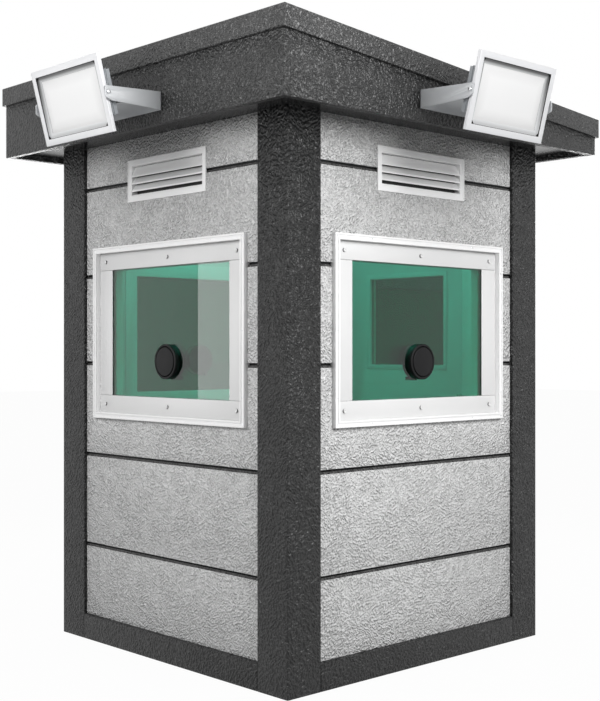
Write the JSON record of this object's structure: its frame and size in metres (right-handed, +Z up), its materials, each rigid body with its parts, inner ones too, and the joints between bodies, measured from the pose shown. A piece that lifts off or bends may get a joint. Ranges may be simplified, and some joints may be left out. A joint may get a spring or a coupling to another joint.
{
  "type": "security guard booth",
  "caption": "Square one-person bullet-resistant guard booth with armoured windows, talk-throughs, wall vents, a hinged door and tilting floodlights.",
  "frame": {"origin": "centre of the square plan at ground level", "axes": "+Z up, +Y towards the wall with the door, +X towards the side wall with a floodlight above it"},
  "size_m": [2.2085, 2.2085, 2.4908],
  "materials": {
    "galvanised_steel": "galvanised",
    "floor_vinyl": "matte",
    "wall_lining": "satin",
    "dark_stucco": "stucco",
    "light_stucco": "stucco",
    "white_frame": "satin",
    "white_plate": "satin",
    "ballistic_glass": "clear",
    "black_plastic": "satin",
    "vent_paint": "satin",
    "insect_screen": "mesh",
    "soffit_paint": "stucco",
    "fascia_stucco": "stucco",
    "roof_membrane": "matte",
    "cap_stucco": "stucco",
    "door_frame_paint": "satin",
    "threshold_metal": "mill",
    "door_paint": "satin",
    "door_lite_glass": "clear",
    "lever_steel": "satin",
    "hinge_steel": "satin",
    "bracket_paint": "satin",
    "lamp_white": "satin",
    "lamp_diffuser": "satin",
    "lamp_housing": "satin",
    "screw_steel": "satin"
  },
  "bodies": {
    "booth": {"back_cladding": "light_stucco", "back_fascia": "fascia_stucco", "back_wall_header": "wall_lining", "back_wall_left": "wall_lining", "back_wall_right": "wall_lining", "base_trims": "dark_stucco", "ceiling": "soffit_paint", "corner_trims": "dark_stucco", "door_frame": "door_frame_paint", "door_threshold": "threshold_metal", "floor_deck": "floor_vinyl", "front_cladding": "light_stucco", "front_fascia": "fascia_stucco", "front_floodlight_bracket": "bracket_paint", "front_wall": "wall_lining", "hinge_lower_barrels": "hinge_steel", "left_cladding": "light_stucco", "left_fascia": "fascia_stucco", "left_wall": "wall_lining", "right_cladding": "light_stucco", "right_fascia": "fascia_stucco", "right_floodlight_bracket": "bracket_paint", "right_wall": "wall_lining", "roof_edge_trim": "cap_stucco", "roof_panel": "roof_membrane", "skid_cross_members": "galvanised_steel", "skid_runners": "galvanised_steel", "talk_throughs": "black_plastic", "vent_grilles": "vent_paint", "vent_screens": "insect_screen", "wall_vents": "vent_paint", "window_glass": "ballistic_glass", "window_inner_frames": "white_frame", "window_plates": "white_plate", "window_rims": "white_frame"},
    "door": {"door_leaf": "door_paint", "door_lite_frame": "white_frame", "door_glass": "door_lite_glass", "door_levers": "lever_steel", "hinge_upper_barrels": "hinge_steel"},
    "front_floodlight_head": {"front_floodlight_bezel": "lamp_white", "front_floodlight_lens": "lamp_diffuser", "front_floodlight_housing": "lamp_housing", "front_floodlight_pivots": "screw_steel"},
    "right_floodlight_head": {"right_floodlight_bezel": "lamp_white", "right_floodlight_lens": "lamp_diffuser", "right_floodlight_housing": "lamp_housing", "right_floodlight_pivots": "screw_steel"}
  },
  "joints": [
    {"name": "door_swing", "type": "hinge", "parent": "booth", "child": "door", "pos_m": [-0.409, 0.772, 0], "axis": [0, 0, 1], "range_deg": [0, 100]},
    {"name": "front_floodlight_tilt", "type": "hinge", "parent": "booth", "child": "front_floodlight_head", "pos_m": [0, -1.2, 2.258], "axis": [1, 0, 0], "range_deg": [-60, 75]},
    {"name": "right_floodlight_tilt", "type": "hinge", "parent": "booth", "child": "right_floodlight_head", "pos_m": [1.2, 0, 2.258], "axis": [0, 1, 0], "range_deg": [-60, 75]}
  ]
}
